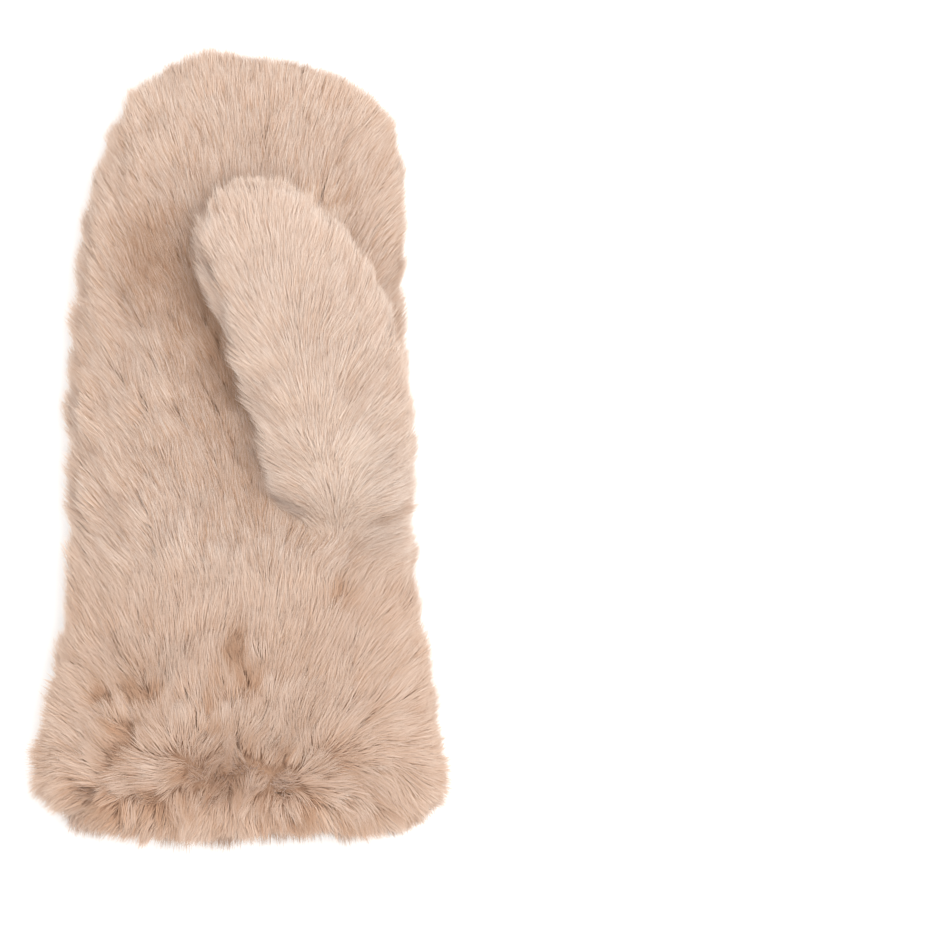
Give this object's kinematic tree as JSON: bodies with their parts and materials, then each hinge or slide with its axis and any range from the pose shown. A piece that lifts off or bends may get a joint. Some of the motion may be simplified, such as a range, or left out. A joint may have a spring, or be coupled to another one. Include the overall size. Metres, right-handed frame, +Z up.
{
  "type": "mitten",
  "caption": "Deep-pile fur mitten for the right hand, palm up, with its thumb folded over the palm and a wide turned-up cuff.",
  "frame": {"origin": "the middle of the mitten's footprint, on the surface that it lies on", "axes": "+X across the palm to the thumb's side, +Y from the cuff to the fingertips, +Z up, out of the palm"},
  "size_m": [0.1492, 0.278, 0.0776],
  "materials": {
    "palm_fur": "deep beige pile, combed towards the fingertips",
    "back_fur": "deep beige pile, combed towards the fingertips",
    "thumb_fur": "deep beige pile, a little lighter, combed towards the thumb's tip",
    "thumb_back_fur": "deep beige pile, the thumb's inner panel, which lies on the palm",
    "cuff_fur": "deep beige pile that parts over the turned-up edge"
  },
  "bodies": {
    "root": {"palm": "palm_fur", "back": "back_fur", "thumb": "thumb_fur", "thumb_back": "thumb_back_fur", "cuff": "cuff_fur"}
  },
  "joints": []
}
